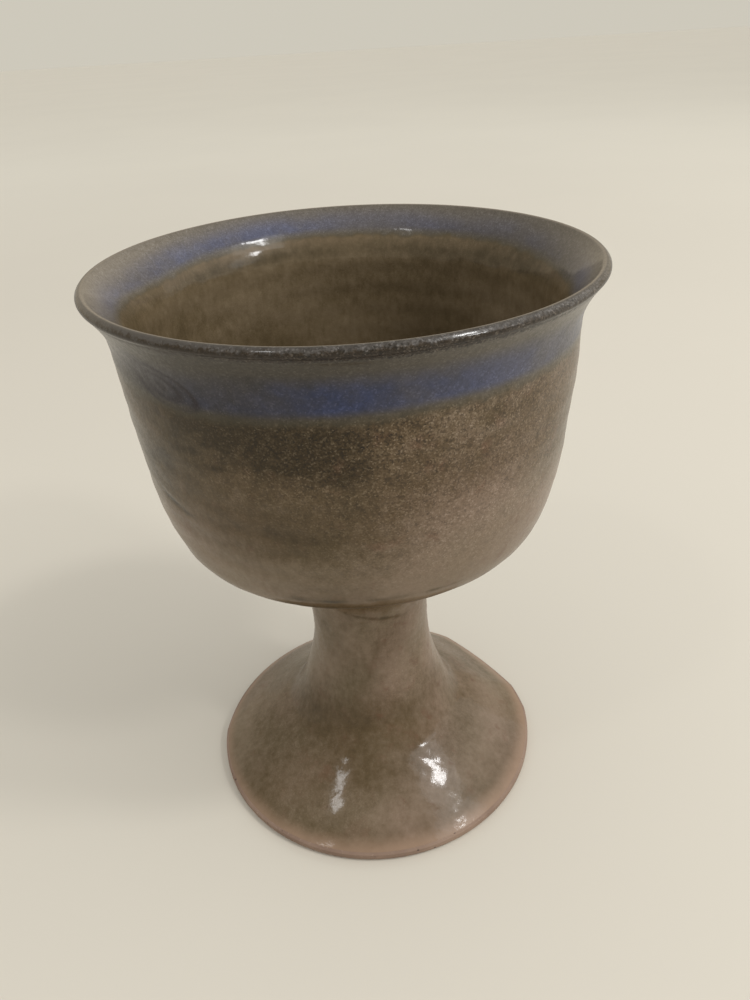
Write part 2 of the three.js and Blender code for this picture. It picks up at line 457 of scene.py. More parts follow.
def spread(radius, height, azimuth):
    # Turned point in space: the flatter stretches push the foot in, less and less up to the stem, and the
    # stem drifts aside a little
    strength = 1 - smooth(pedestalLine["glazeLine"], flareTop, height)
    away = radius - np.maximum(radius - stemRadius, 0) * strength * (1 - footWidth(azimuth))
    drift = throwing["stemDrift"] * bump(40, 20, height) * smooth(0, 12, height)
    return np.stack([away * np.cos(azimuth) + drift, away * np.sin(azimuth), height], -1)


def surfaceGrid(place, azimuth, depth):
    # Point on the line at an arc length, moved along the normal by the relief less a depth, turned round Z
    out = (relief(place, azimuth) - depth)[..., None]
    moved = lookUp(place, along, line) + lookUp(place, along, outward) * out
    return spread(np.maximum(moved[..., 0], 0), moved[..., 1], azimuth)


# Edges of the blue dip, measured along the surface
dip = {
    "outsideDrop": 15.6,
    "insideDrop": 10.2,
    "waveHeight": 0.9,
}


def dipWave(azimuth, turned):
    # Slow waves of a dipped edge about its mean, counted from the front
    angle = azimuth + math.pi / 2
    slow = 0.5 * np.sin(2 * angle + turned) + 0.3 * np.sin(3 * angle + 2 * turned)
    return dip["waveHeight"] * (slow + 0.2 * np.sin(5 * angle - turned))


def outsideEdge(azimuth):
    # The dip's mean drop from the crest, and its wave; the same goes for the edge inside
    return crestAt - dip["outsideDrop"] + dipWave(azimuth, 0.8)


def insideEdge(azimuth):
    return crestAt + dip["insideDrop"] - dipWave(azimuth, 3.9)


# How far the dipped colour runs past those edges: direction, width, millimetres (below zero it stops short)
colourRuns = {
    "outside": [(-84, 40, 1.3), (-130, 24, 0.8)],
    "inside": [(96, 42, -2.2), (160, 16, 0.9), (30, 24, -0.3), (182, 12, -0.4), (270, 60, -1.0)],
}


def colourRun(side, azimuth):
    # Sum of one bell curve per run
    return sum(amount * facing(azimuth, direction, width) for direction, width, amount in colourRuns[side])


def aboveDip(place, azimuth):
    # Distance in millimetres inside the dipped band, below zero outside it
    fromOutside = place - outsideEdge(azimuth) + colourRun("outside", azimuth)
    fromInside = insideEdge(azimuth) + colourRun("inside", azimuth) - place
    return np.minimum(fromOutside, fromInside)


def dipHeight(place, azimuth):
    # The second coat stands proud of the first, with a soft roll along its edge
    inside = aboveDip(place, azimuth)
    return throwing["dipStep"] * (smooth(0, 1.6, inside) + 0.5 * bump(1.3, 0.8, inside)) * bump(0, 6, inside)


# Dark streaks, in the same terms as the finger marks, with a change of tone as the last value. The line
# along the turn is painted shade under the bowl and partly darker glaze; the others are glaze streaks.
glazePatches = {
    "underBand": (-99.0, 22.5, 9.0, 4.5, 0.0, -0.30),
    "underBandLow": (-93.0, 27.0, 6.0, 2.5, -5.0, -0.18),
    "thinLine": (-102.0, 26.3, 5.5, 0.5, -4.0, -0.32),
    "shortLine": (-118.0, 27.4, 4.0, 0.6, 6.0, -0.20),
    "leftOfMiddle": (-125.0, 23.5, 7.0, 4.0, 0.0, -0.15),
    "right": (-57.0, 20.0, 6.0, 2.6, 14.0, -0.22),
    "farRight": (-46.0, 21.5, 5.0, 2.6, 14.0, -0.12),
    "leftRidge": (-140.0, 30.0, 12.0, 4.0, 17.0, -0.16),
    "leftDent": (-140.3, 41.1, 5.5, 0.8, -14.0, -0.34),
    # Painted shade along the turn under the bowl, partly darker glaze
    "turn": (-88.0, 59.6, 27.0, 0.7, 0.0, -0.40),
    "stemRing": (-80.0, 103.2, 27.0, 0.6, -3.7, -0.32),
    "backRight": (20.0, 24.0, 12.0, 4.0, -6.0, -0.25),
    "back": (95.0, 26.0, 15.0, 5.0, 4.0, -0.25),
    "backLeft": (168.0, 23.0, 10.0, 4.0, 5.0, -0.20),
}

# Paler and darker blots: tone, distance from the crest down the outside or the inside, width along the
# wall, direction and width round the axis. Outside, the paler blots at the back of the skirt and on the
# flare are a painted sheen, and the one on the right side is partly paler glaze, partly painted light.
outsideBlots = {
    # Partly paler glaze and partly painted light from the lamps at the right
    "rightSidePaleAndLit": (0.46, 46, 22, -58, 28),
    "rightLow": (0.10, 55, 6, -62, 18),
    "frontMiddle": (-0.14, 44, 9, -93, 20),
    "skirtLeft": (-0.06, 117, 6, -118, 30),
    "skirtFront": (-0.15, 125, 6, -93, 22),
    # The next five are a painted sheen at grazing angles
    "skirtBackLeftSheen": (0.24, 153, 9, 173, 18),
    "skirtBackRightSheen": (0.15, 153, 9, 3, 20),
    "flareLeftSheen": (0.25, 115, 8, 168, 30),
    "flareRightSheen": (0.25, 115, 8, 12, 30),
    "flareFarLeftSheen": (0.25, 115, 8, -172, 18),
}
insideBlots = {
    "backLow": (0.14, 34, 9, 95, 48),
    "rightUnderEdge": (-0.12, 11, 2.6, 20, 30),
    "backUnderEdge": (-0.14, 12.7, 1.7, 127, 16),
    "leftUnderEdge": (-0.11, 15, 4, 143, 18),
    "farLeftUnderEdge": (0.16, 12.5, 3.5, 176, 13),
    "rightLow": (0.14, 28, 9, 14, 18),
    "leftHigh": (0.14, 16.5, 3.5, 158, 18),
    "farLeft": (-0.34, 28, 12, 184, 15),
}


def blotted(blots, distance, azimuth):
    # Sum of the blots, each a bell curve along the wall times one round the axis
    return sum(
        tone * bump(middle, width, distance) * facing(azimuth, direction, breadth)
        for tone, middle, width, direction, breadth in blots.values()
    )


def rightShare(azimuth):
    # The drier, paler side of the glaze, its paleness partly painted light from the lamps at the right: it
    # starts rather suddenly a little left of the middle of the front
    fromMiddle = angleFrom(azimuth, -88)
    return smooth(-14, 10, fromMiddle) * smooth(150, 70, fromMiddle)


def toneAt(place, azimuth):
    # Lightness of the brown glaze between 0 and 1: by height, with slow clouds and the named patches.
    # Parts of it are painted light and shade, as noted below.
    below = crestAt - place
    outside = smooth(-1, 1, below)
    # On the right the tone is raised: partly paler glaze, partly painted light from the lamps at the right
    right = rightShare(azimuth)
    # The upper left is darker: painted shade for the dimmer room that it reflects
    upper = smooth(36, 16, below) * facing(azimuth, -132, 44)
    # The lower bowl is paler, most at the lower left: a painted reflection of the pale floor
    low = smooth(28, 58, below) * smooth(100, 84, below)
    leftLow = smooth(36, 55, below) * smooth(70, 64, below) * facing(azimuth, -143, 30)
    stem = smooth(flareTopAt - 22, flareTopAt - 8, place) * smooth(collarAt + 9, collarAt + 2, place)
    flare = bump(flareTopAt - 14, 12, place)
    foot = smooth(flareTopAt - 20, 12, place)
    # Darker under the turn: painted shade under the bowl, partly darker glaze there
    under = smooth(60.5, 64, below) * smooth(88, 80, below)
    # The flare is paler, most at its back and flanks: a painted sheen of the room at grazing angles
    backFlareSheen = 0.8 * facing(azimuth, 90, 70) + 1.3 * (facing(azimuth, 168, 30) + facing(azimuth, 12, 30))
    ground = 0.07 * right + 0.17 * low * (1 + 0.7 * right) + 0.66 * leftLow - 0.34 * upper - 0.35 * under
    ground = ground - 0.17 * bump(126, 9, below) + 0.38 * stem + 0.32 * flare * (1 + backFlareSheen) + 0.28 * foot
    ground = ground + blotted(outsideBlots, below, azimuth)
    broken = waves(place, azimuth, 57, 40, (8, 60), (3, 16)) + waves(place, azimuth, 59, 30, (0, 9), (2.5, 7))
    patches = strokes(glazePatches, place, azimuth) * (1 + 0.45 * broken)
    clouds = 0.05 * waves(place, azimuth, 51, 16, (0, 5), (16, 60))

    # Inside: pale under the edge, darker towards the floor, and paler at the left of the far wall, which
    # is painted light
    depth = -below
    # Paler at the left of the far wall: painted light from the lamps at the right
    leftInsideLit = 0.45 + 0.55 * facing(azimuth, 112, 50)
    high = smooth(13, 15, depth) * smooth(30, 22, depth) * facing(azimuth, 2, 24)
    back = smooth(11, 14, depth) * smooth(34, 26, depth) * facing(azimuth, 85, 62)
    lining = 0.26 * smooth(12.5, 16, depth) * smooth(38, 24, depth) - 0.11 * bump(12.6, 1.8, depth)
    lining = lining * leftInsideLit + 0.10 * high - 0.06 * back - 0.10 * smooth(36, 44, depth)
    lining = lining + blotted(insideBlots, depth, azimuth)
    return 0.37 + outside * (ground + patches) + (1 - outside) * lining + clouds


def warmthAt(place, azimuth):
    # From olive at 0 to red-brown at 1
    return 0.30 + 0.36 * rightShare(azimuth) + 0.14 * waves(place, azimuth, 61, 14, (1, 6), (14, 50))


def grainAt(place, azimuth):
    # How strong the fine grain is: most at the right of the front under the band, where the glaze is driest
    below = crestAt - place
    onBowl = smooth(-1, 1, below) * smooth(64, 56, below)
    middle = facing(azimuth, -82, 34) * smooth(66, 30, below)
    right = facing(azimuth, -52, 44) * smooth(60, 22, below)
    top = bump(20, 12, below) * facing(azimuth, -98, 30)
    stem = bump(90, 14, below)
    slow = 0.05 * waves(place, azimuth, 71, 12, (0, 4), (25, 80))
    strength = 0.36 * np.maximum(middle, right) + 0.22 * right + 0.42 * top
    return np.clip(0.10 + slow + 0.15 * stem + onBowl * strength, 0.05, 1.2)


def blueAt(place, azimuth):
    # How much cobalt the band holds: less outside at the left and the right, most inside at the left
    below = crestAt - place
    outside = 1 - 0.7 * facing(azimuth, -146, 34) - 0.40 * facing(azimuth, -16, 30)
    inside = 0.42 + 0.58 * facing(azimuth, 142, 42) + 0.12 * facing(azimuth, 80, 30)
    share = smooth(-1, 1, below)
    slow = 0.12 * waves(place, azimuth, 81, 14, (2, 9), (12, 50))
    return np.clip(share * outside + (1 - share) * inside + slow, 0, 1)


def milkyAndSheenAt(place, azimuth):
    # How pale the dipped coat is: partly a milky coat, partly a painted reflection of the bright room; most
    # inside the lip at the left, and a little outside at the right
    below = crestAt - place
    inside = 0.36 + 0.42 * facing(azimuth, 172, 42) + 0.09 * facing(azimuth, 88, 36)
    inside = inside + 0.16 * facing(azimuth, -12, 22)
    fading = 0.50 - 0.25 * facing(azimuth, 88, 36)
    inside = inside * (1 - fading * smooth(2.5, 8.5, -below))
    outside = 0.30 * facing(azimuth, -52, 36)
    share = smooth(-0.6, 0.4, below)
    return share * outside + (1 - share) * inside


def writeMesh(name, grid, attributes, closedLoop, material):
    # Rows run along the section and columns round the axis. A loop joins its last row to its first, and an
    # open section ends in two poles on the axis.
    rows, columns = grid.shape[:2]
    index = np.arange(rows * columns).reshape(rows, columns)
    below = index if closedLoop else index[:-1]
    above = np.roll(index, -1, 0) if closedLoop else index[1:]
    quads = np.stack([below, np.roll(below, -1, 1), np.roll(above, -1, 1), above], -1).reshape(-1, 4)
    points = grid.reshape(-1, 3)
    faces = [quads]
    if not closedLoop:
        pole = np.full(columns, len(points))
        points = np.concatenate([points, [grid[0].mean(0)], [grid[-1].mean(0)]])
        around = np.roll(index, -1, 1)
        faces.append(np.stack([pole, around[0], index[0]], -1))
        faces.append(np.stack([pole + 1, index[-1], around[-1]], -1))
    flat = [face for group in faces for face in group.tolist()]
    corners = points[np.concatenate([group[:, :3] for group in faces] + [quads[:, [0, 2, 3]]])]
    # The volume is a sixth of the sum of every triangle's triple product
    volume = (corners[:, 0] * np.cross(corners[:, 1], corners[:, 2])).sum() / 6
    if volume < 0:
        flat = [face[::-1] for face in flat]
    mesh = bpy.data.meshes.new(name)
    mesh.from_pydata((points * mm).tolist(), [], flat)
    for key, values in attributes.items():
        full = values.reshape(-1)
        if not closedLoop:
            full = np.r_[full, values[0].mean(), values[-1].mean()]
        layer = mesh.attributes.new(key, "FLOAT", "POINT")
        layer.data.foreach_set("value", full.astype(np.float32))
    mesh.materials.append(material)
    mesh.validate()
    mesh.shade_smooth()
    mesh.set_sharp_from_angle(angle=math.radians(48))
    piece = newObject(name, mesh)
    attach(piece, "root")
    print(name, "has", len(mesh.vertices), "vertices, volume", round(abs(volume) / 1000, 2), "cm3")
    return piece


# Materials are built with these small helpers
def feed(tree, node, inputs):
    # Sockets are linked to the node's inputs, and plain values are set on them
    for key, value in inputs.items():
        if isinstance(value, bpy.types.NodeSocket):
            tree.links.new(value, node.inputs[key])
        else:
            node.inputs[key].default_value = value


def put(tree, kind, inputs, **settings):
    node = tree.nodes.new(kind)
    for key, value in settings.items():
        setattr(node, key, value)
    feed(tree, node, inputs)
    return node


def calc(tree, operation, a, b=0.0, c=0.0):
    return put(tree, "ShaderNodeMath", {0: a, 1: b, 2: c}, operation=operation).outputs[0]


def between(tree, value, low, high, start=0.0, end=1.0):
    # Smooth step of a value from low to high
    limits = {"Value": value, "From Min": low, "From Max": high, "To Min": start, "To Max": end}
    return put(tree, "ShaderNodeMapRange", limits, interpolation_type="SMOOTHSTEP").outputs["Result"]


def blend(tree, share, first, second):
    # The first colour where the share is 0 and the second where it is 1
    first, second = (
        colour if isinstance(colour, bpy.types.NodeSocket) else (*colour, 1) for colour in (first, second)
    )
    return put(tree, "ShaderNodeMix", {0: share, 6: first, 7: second}, data_type="RGBA").outputs[2]


def noise(tree, coords, scale, detail=3.0, roughness=0.55):
    # Cloudy pattern with this many features to the metre
    inputs = {"Vector": coords, "Scale": scale, "Detail": detail, "Roughness": roughness}
    return put(tree, "ShaderNodeTexNoise", inputs).outputs["Fac"]


def cells(tree, coords, scale):
    # For each of many small cells, a random value between 0 and 1 and the distance from the cell's middle
    node = put(tree, "ShaderNodeTexVoronoi", {"Vector": coords, "Scale": scale})
    pick = put(tree, "ShaderNodeSeparateColor", {"Color": node.outputs["Color"]}).outputs[0]
    return pick, node.outputs["Distance"]


def vectorCalc(tree, operation, inputs):
    return put(tree, "ShaderNodeVectorMath", inputs, operation=operation).outputs


def shaded(tree, colour, factor):
    # The colour times a factor
    return vectorCalc(tree, "SCALE", {0: colour, "Scale": factor})[0]


def summed(tree, offset, *terms):
    # The offset plus each value times its weight
    total = offset
    for value, weight in terms:
        total = calc(tree, "MULTIPLY_ADD", value, weight, total)
    return total


def product(tree, first, *others):
    # All the values times each other
    for value in others:
        first = calc(tree, "MULTIPLY", first, value)
    return first


def ramp(tree, value, stops):
    # Colour that runs through the stops, each a position and a colour
    node = put(tree, "ShaderNodeValToRGB", {"Fac": value})
    elements = node.color_ramp.elements
    elements[0].position, elements[1].position = stops[0][0], stops[-1][0]
    elements[0].color, elements[1].color = (*stops[0][1], 1), (*stops[-1][1], 1)
    for position, colour in stops[1:-1]:
        elements.new(position).color = (*colour, 1)
    return node.outputs["Color"]


def attribute(tree, name):
    return put(tree, "ShaderNodeAttribute", {}, attribute_name=name).outputs["Fac"]


def newMaterial(name):
    # A material with its node tree, its shader, and the place on the object that patterns start from
    material = bpy.data.materials.new(name)
    material.use_nodes = True
    tree = material.node_tree
    place = put(tree, "ShaderNodeTexCoord", {}).outputs["Object"]
    return material, tree, tree.nodes["Principled BSDF"], place


def rootOfSquares(tree, *terms):
    # Square root of the sum of each value's square times its weight
    squares = summed(tree, 0.0, *((product(tree, value, value), weight) for value, weight in terms))
    return calc(tree, "SQRT", squares)


def bumped(tree, height):
    # Normal of a surface that is raised by a height in metres
    inputs = {"Strength": 1.0, "Distance": 1.0, "Height": height}
    return put(tree, "ShaderNodeBump", inputs).outputs["Normal"]


# Colours of the glazes, as linear red, green and blue. Ramps run from the thickest glaze to the thinnest.
glazeColours = {
    "olive": [(0.05, (0.026, 0.015, 0.002)), (0.45, (0.079, 0.053, 0.022)), (0.95, (0.173, 0.130, 0.081))],
    "warm": [(0.05, (0.034, 0.018, 0.003)), (0.45, (0.096, 0.059, 0.029)), (0.95, (0.194, 0.134, 0.091))],
    "liner": [(0.05, (0.056, 0.039, 0.016)), (0.45, (0.130, 0.094, 0.050)), (0.95, (0.224, 0.169, 0.103))],
    "grainShare": (0.55, 0.68, 0.90),
    "grainStep": (0.056, 0.048, 0.039),
    "rust": (0.115, 0.053, 0.028),
    "linerTan": (0.180, 0.122, 0.070),
    "grey": [(0.25, (0.032, 0.026, 0.017)), (0.75, (0.049, 0.040, 0.028))],
    "cobalt": [(0.25, (0.014, 0.019, 0.043)), (0.75, (0.024, 0.037, 0.100))],
    # The next two colours are a milky coat and partly a painted reflection of the bright room
    "milkyAndSheen": (0.225, 0.195, 0.155),
    "milkyBlueAndSheen": (0.096, 0.101, 0.148),
    "swirl": (0.011, 0.007, 0.012),
    "edgeLine": (0.054, 0.046, 0.026),
    "roll": (0.060, 0.054, 0.049),
    # Dark grains and painted shade under the rolled lip
    "underRollGrainAndShade": (0.020, 0.012, 0.006),
    # Pale where the glaze breaks thin at the arris, partly a painted highlight
    "breakingAndHighlight": (0.20, 0.165, 0.125),
    "thinOverClay": (0.290, 0.190, 0.125),
}

# Finish of the glazes; peel and grit are heights in metres
glazeFinish = {
    "roughness": (0.40, 0.52),
    "coat": 0.50,
    "coatRoughness": 0.11,
    "coatIndex": 1.5,
    "index": 1.22,
    "peel": 0.000030,
    "grit": 0.000009,
}


def brownGlazeColour(tree, coords, mottle):
    # The outside runs between olive and red-brown, the inside is olive; both hold pale and dark grains
    c = glazeColours
    clouds = noise(tree, coords, 45, 4, 0.6)
    upright = put(tree, "ShaderNodeMapping", {"Vector": coords, "Scale": (1, 1, 0.35)}).outputs[0]
    streaks = noise(tree, upright, 800, 2, 0.6)
    patches = noise(tree, coords, 130, 3, 0.6)
    parts = (attribute(tree, "tone"), 1.0), (clouds, 0.4), (mottle, 0.55), (patches, 0.25), (streaks, 0.30)
    tone = summed(tree, -0.75, *parts)
    warmth = summed(tree, -0.30, (attribute(tree, "warmth"), 1.0), (patches, 0.6))
    outside = blend(tree, warmth, ramp(tree, tone, c["olive"]), ramp(tree, tone, c["warm"]))
    rusty = product(tree, between(tree, noise(tree, coords, 210, 3), 0.56, 0.72), warmth, 0.6)
    outside = blend(tree, rusty, outside, c["rust"])

    # Inside, paler and browner just under the dipped edge
    inside = ramp(tree, tone, c["liner"])
    underEdge = between(tree, attribute(tree, "aboveDip"), -4.0, -1.0, 0.0, 0.22)
    inside = blend(tree, product(tree, underEdge, between(tree, patches, 0.35, 0.6)), inside, c["linerTan"])
    body = blend(tree, attribute(tree, "inner"), outside, inside)
    return grainy(tree, coords, body, attribute(tree, "grain"))


def grainy(tree, coords, colour, amount):
    # Dense fine grain: every cell is a little paler or darker, and a few are much paler: pale specks that
    # also stand in for painted glints. A darker one keeps its hue and a paler one moves towards a neutral
    # tan.
    c = glazeColours
    small = cells(tree, coords, 3400)[0]
    large = cells(tree, coords, 1600)[0]
    soft = noise(tree, coords, 620, 2, 0.6)
    pale = between(tree, small, 0.84, 1.0)
    change = summed(tree, -1.13, (small, 0.82), (large, 0.42), (soft, 0.95), (pale, 0.55))
    paler = product(tree, calc(tree, "MAXIMUM", change, 0.0), amount)
    darker = summed(tree, 1.0, (product(tree, calc(tree, "MINIMUM", change, 0.0), amount), 1.15))
    step = vectorCalc(tree, "MULTIPLY_ADD", {0: colour, 1: c["grainShare"], 2: c["grainStep"]})[0]
    return vectorCalc(tree, "ADD", {0: shaded(tree, colour, darker), 1: shaded(tree, step, paler)})[0]


def bandColour(tree, coords, mottle, inBand):
    # Grey towards the lip, cobalt over the lower half, and rings of a swirl where the dip closed on itself
    c = glazeColours
    rise = between(tree, inBand, 0.2, 2.4)
    higherInside = summed(tree, 0.0, (inBand, 1.0), (attribute(tree, "inner"), 1.7))
    fall = between(tree, higherInside, 10.4, 4.8)
    cloudy = between(tree, noise(tree, coords, 70, 4, 0.6), 0.28, 0.62, 0.45, 1.0)
    blue = product(tree, rise, fall, cloudy, attribute(tree, "blue"))
    # The paler, milky share of the band is partly a painted reflection
    milkyAndSheen = attribute(tree, "milkyAndSheen")
    grey = blend(tree, milkyAndSheen, ramp(tree, mottle, c["grey"]), c["milkyAndSheen"])
    cobalt = blend(tree, between(tree, milkyAndSheen, 0.0, 0.55), ramp(tree, mottle, c["cobalt"]), c["milkyBlueAndSheen"])
    colour = blend(tree, blue, grey, cobalt)

    # Oval swirl with nested loops and a dark outline, and a dark smear over its upper left
    warp = calc(tree, "SUBTRACT", noise(tree, coords, 190, 2), 0.5)
    across = summed(tree, attribute(tree, "swirlAcross"), (warp, 0.16))
    up = summed(tree, attribute(tree, "swirlUp"), (warp, -0.30))
    reach = rootOfSquares(tree, (across, 1.0), (up, 1.0))
    loops = calc(tree, "SINE", summed(tree, 0.34, (reach, 13.8)))
    oval = product(tree, between(tree, reach, 1.22, 0.98), summed(tree, 0.62, (loops, 0.38)))
    smearAcross = calc(tree, "ADD", across, 0.88)
    smearUp = calc(tree, "MULTIPLY", calc(tree, "SUBTRACT", up, 0.55), 1.2)
    smear = between(tree, rootOfSquares(tree, (smearAcross, 3.4), (smearUp, 1.0)), 1.25, 0.45, 0.0, 0.7)
    colour = blend(tree, calc(tree, "MAXIMUM", oval, smear), colour, c["swirl"])
    return grainy(tree, coords, colour, 0.31)


def glazeMaterial(name):
    # Brown glaze, the dipped band over it, the rolled lip over that, and the clay's colour at the foot
    material, tree, shader, coords = newMaterial(name)
    c, f = glazeColours, glazeFinish
    inBand = attribute(tree, "aboveDip")
    fromCrest = attribute(tree, "fromCrest")
    grain = attribute(tree, "grain")
    mottle = noise(tree, coords, 380, 4, 0.62)
    fine = noise(tree, coords, 1500, 2, 0.7)

    # The dipped edge wanders, and inside the bowl it is crisper
    wobble = calc(tree, "SUBTRACT", noise(tree, coords, 240, 3), 0.5)
    edge = summed(tree, inBand, (wobble, 2.4))
    edge = product(tree, edge, summed(tree, 1.0, (attribute(tree, "inner"), 0.8)))
    colour = brownGlazeColour(tree, coords, mottle)
    colour = blend(tree, between(tree, edge, -1.8, 0.2, 0.0, 0.6), colour, c["edgeLine"])
    band = bandColour(tree, coords, mottle, inBand)
    colour = blend(tree, between(tree, edge, -1.1, 1.5), colour, band)

    # The rolled lip: grey with dark and pale grains, a dark broken line under it of dark grains and painted
    # shade, and a pale inner arris where the glaze breaks thin, partly a painted highlight
    lipGrain = noise(tree, coords, 1300, 2, 0.65)
    roll = product(tree, between(tree, fromCrest, -3.4, -2.4), between(tree, fromCrest, 1.2, -0.3), 0.92)
    coarse = cells(tree, coords, 2200)[0]
    ragged = summed(tree, fromCrest, (lipGrain, 1.6), (wobble, 2.0), (coarse, 0.8))
    below = calc(tree, "ABSOLUTE", summed(tree, 1.30, (ragged, 1.0)))
    # Under the roll: dark grains and painted shade
    rollGrainAndShade = between(tree, below, 1.7, 0.8, 0.0, 0.95)
    rollColour = blend(tree, rollGrainAndShade, c["roll"], c["underRollGrainAndShade"])
    strength = calc(tree, "MAXIMUM", summed(tree, -0.45, (grain, 2.4)), 0.08)
    rollColour = grainy(tree, coords, rollColour, strength)
    colour = blend(tree, calc(tree, "MAXIMUM", roll, rollGrainAndShade), colour, rollColour)
    # The pale arris is glaze breaking thin and partly a painted highlight
    arris = calc(tree, "ABSOLUTE", summed(tree, -0.30, (fromCrest, 1.0)))
    colour = blend(tree, between(tree, arris, 0.42, 0.10, 0.0, 0.5), colour, c["breakingAndHighlight"])

    # The glaze thins to the clay's colour at the foot
    thin = summed(tree, attribute(tree, "fromFoot"), (noise(tree, coords, 120, 3), 2.6))
    colour = blend(tree, between(tree, thin, 6.2, 0.6, 0.0, 0.85), colour, c["thinOverClay"])

    # Orange peel and grit of the glaze, in metres of height
    peel = noise(tree, coords, 520, 2)
    gritty = calc(tree, "MULTIPLY", fine, summed(tree, 0.4, (grain, 0.9)))
    normal = bumped(tree, summed(tree, 0.0, (peel, f["peel"]), (gritty, f["grit"])))
    feed(tree, shader, {
        "Base Color": colour,
        "Roughness": between(tree, fine, 0.35, 0.65, *f["roughness"]),
        "IOR": f["index"],
        "Coat Weight": f["coat"],
        "Coat Roughness": f["coatRoughness"],
        "Coat IOR": f["coatIndex"],
        "Normal": normal,
        "Coat Normal": normal,
    })
    return material


# Colours of the fired clay, and the height of its grit in metres
clayColours = {
    "pale": (0.27, 0.185, 0.132),
    "toasted": (0.205, 0.134, 0.094),
    "grog": (0.36, 0.27, 0.205),
    "iron": (0.075, 0.045, 0.032),
    "gritHeight": 0.00008,
}


def clayMaterial(name, colours):
    # Dry fired clay: pale and toasted clouds, pale grog and a few iron specks
    material, tree, shader, coords = newMaterial(name)
    clouds = noise(tree, coords, 60, 4)
    fine = noise(tree, coords, 1300, 3, 0.7)
    colour = blend(tree, between(tree, clouds, 0.35, 0.65), colours["toasted"], colours["pale"])
    colour = blend(tree, between(tree, fine, 0.55, 0.75, 0.0, 0.5), colour, colours["grog"])
    pick, fromMiddle = cells(tree, coords, 700)
    iron = product(tree, between(tree, fromMiddle, 0.30, 0.105), between(tree, pick, 0.80, 0.86))
    feed(tree, shader, {
        "Base Color": blend(tree, iron, colour, colours["iron"]),
        "Roughness": between(tree, fine, 0.3, 0.7, 0.72, 0.9),
        "Normal": bumped(tree, calc(tree, "MULTIPLY", fine, colours["gritHeight"])),
    })
    return material


brownGlaze = glazeMaterial("brownGlaze")
linerGlaze = glazeMaterial("linerGlaze")
cobaltGlaze = glazeMaterial("cobaltGlaze")
stonewareClay = clayMaterial("stonewareClay", clayColours)
slipColours = {**clayColours, "pale": (0.27, 0.185, 0.14), "toasted": (0.22, 0.14, 0.10)}
slipClay = clayMaterial("slipClay", slipColours)
print("materials made")

# The fired coat: where it starts above the foot, its depth, the stretch over which it grows to that depth,
# and where round the foot it covers more
coat = {
    "start": 3.9,
    "depth": 0.4,
    "edgeDepth": 0.03,
    "taper": 3.0,
    "fuller": 1.5,
    "fullerDirection": -160,
    "fullerWidth": 42,
}

# Directions of the columns of every grid round the axis
columnCount = 384
azimuths = (np.arange(columnCount) * 2 * math.pi / columnCount)[None, :]


def spaced(start, end, spacing, close=(0, 0, 0)):
    # Places from start to end at a spacing, closer together in a stretch given by its ends and its spacing
    steps = []
    place = start
    while place < end - spacing * 0.5:
        steps.append(place)
        place += close[2] if close[0] <= place < close[1] else spacing
    return np.array(steps + [end])


def coatDepth(place):
    # The coat thins away over a few millimetres above the foot
    grown = smooth(coat["start"], coat["start"] + coat["taper"], place)
    return coat["edgeDepth"] + (coat["depth"] - coat["edgeDepth"]) * grown


# The oval swirl in the band at the left, and how much a raised spot thins and lightens the glaze
swirl = {"direction": -132.3, "below": 13.2, "slope": -14.0, "halfLength": 8.6, "halfWidth": 3.5}
toneByRelief = 0.5


def coatPiece(name, fractions, startOf, endOf, backRows, material, toAxis=False):
    # A coat of glaze between two edges: its face lies on the surface and its back a coat's depth under it
    start = startOf(azimuths)
    end = endOf(azimuths)
    face = start + fractions[:, None] * (end - start)
    backFractions = np.interp(np.linspace(0, 1, backRows), np.linspace(0, 1, len(fractions)), fractions)
    back = start + backFractions[::-1, None] * (end - start)
    if toAxis:
        face, back = face[:-1], back[1:]
    faceGrid = surfaceGrid(face, azimuths, -dipHeight(face, azimuths))
    backGrid = surfaceGrid(back, azimuths, coatDepth(back))
    places = np.concatenate([back, face] if toAxis else [face, back])
    grid = np.concatenate([backGrid, faceGrid] if toAxis else [faceGrid, backGrid])
    around = np.broadcast_to(azimuths, places.shape)
    fuller = coat["fuller"] * facing(around, coat["fullerDirection"], coat["fullerWidth"])
    lengthwise, sideways = unrolled(places, around, swirl["direction"], swirl["below"], swirl["slope"])
    attributes = {
        "aboveDip": aboveDip(places, around),
        "fromCrest": places - crestAt,
        "inner": smooth(-1.0, 1.0, places - crestAt),
        "fromFoot": places - coat["start"] + fuller,
        "tone": toneAt(places, around) + toneByRelief * relief(places, around),
        "warmth": warmthAt(places, around),
        "grain": grainAt(places, around),
        "blue": blueAt(places, around),
        "milkyAndSheen": milkyAndSheenAt(places, around),
        "swirlAcross": lengthwise / swirl["halfLength"],
        "swirlUp": sideways / swirl["halfWidth"],
    }
    return writeMesh(name, grid, attributes, not toAxis, material)


def fractionsOf(places):
    # Shares of the way from the first place to the last
    return (places - places[0]) / (places[-1] - places[0])


glazeStart = coat["start"]
outerMean, innerMean = crestAt - dip["outsideDrop"], crestAt + dip["insideDrop"]
outerPlaces = spaced(glazeStart, outerMean, 0.90, (collarAt - 1, collarAt + 9, 0.40))
outerGlaze = coatPiece(
    "outerGlaze", fractionsOf(outerPlaces), lambda a: glazeStart + 0 * a, outsideEdge, 40, brownGlaze,
)
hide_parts("outer_glaze")

rimPlaces = spaced(outerMean, innerMean, 0.45, (crestAt - 4, crestAt + 2, 0.15))
rimGlaze = coatPiece("rimGlaze", fractionsOf(rimPlaces), outsideEdge, insideEdge, 30, cobaltGlaze)
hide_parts("rim_glaze")

linerPlaces = spaced(innerMean, endAt, 0.8)
lining = coatPiece(
    "linerGlazeCoat", fractionsOf(linerPlaces), insideEdge, lambda a: endAt + 0 * a, 40, linerGlaze, True,
)
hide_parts("liner_glaze")

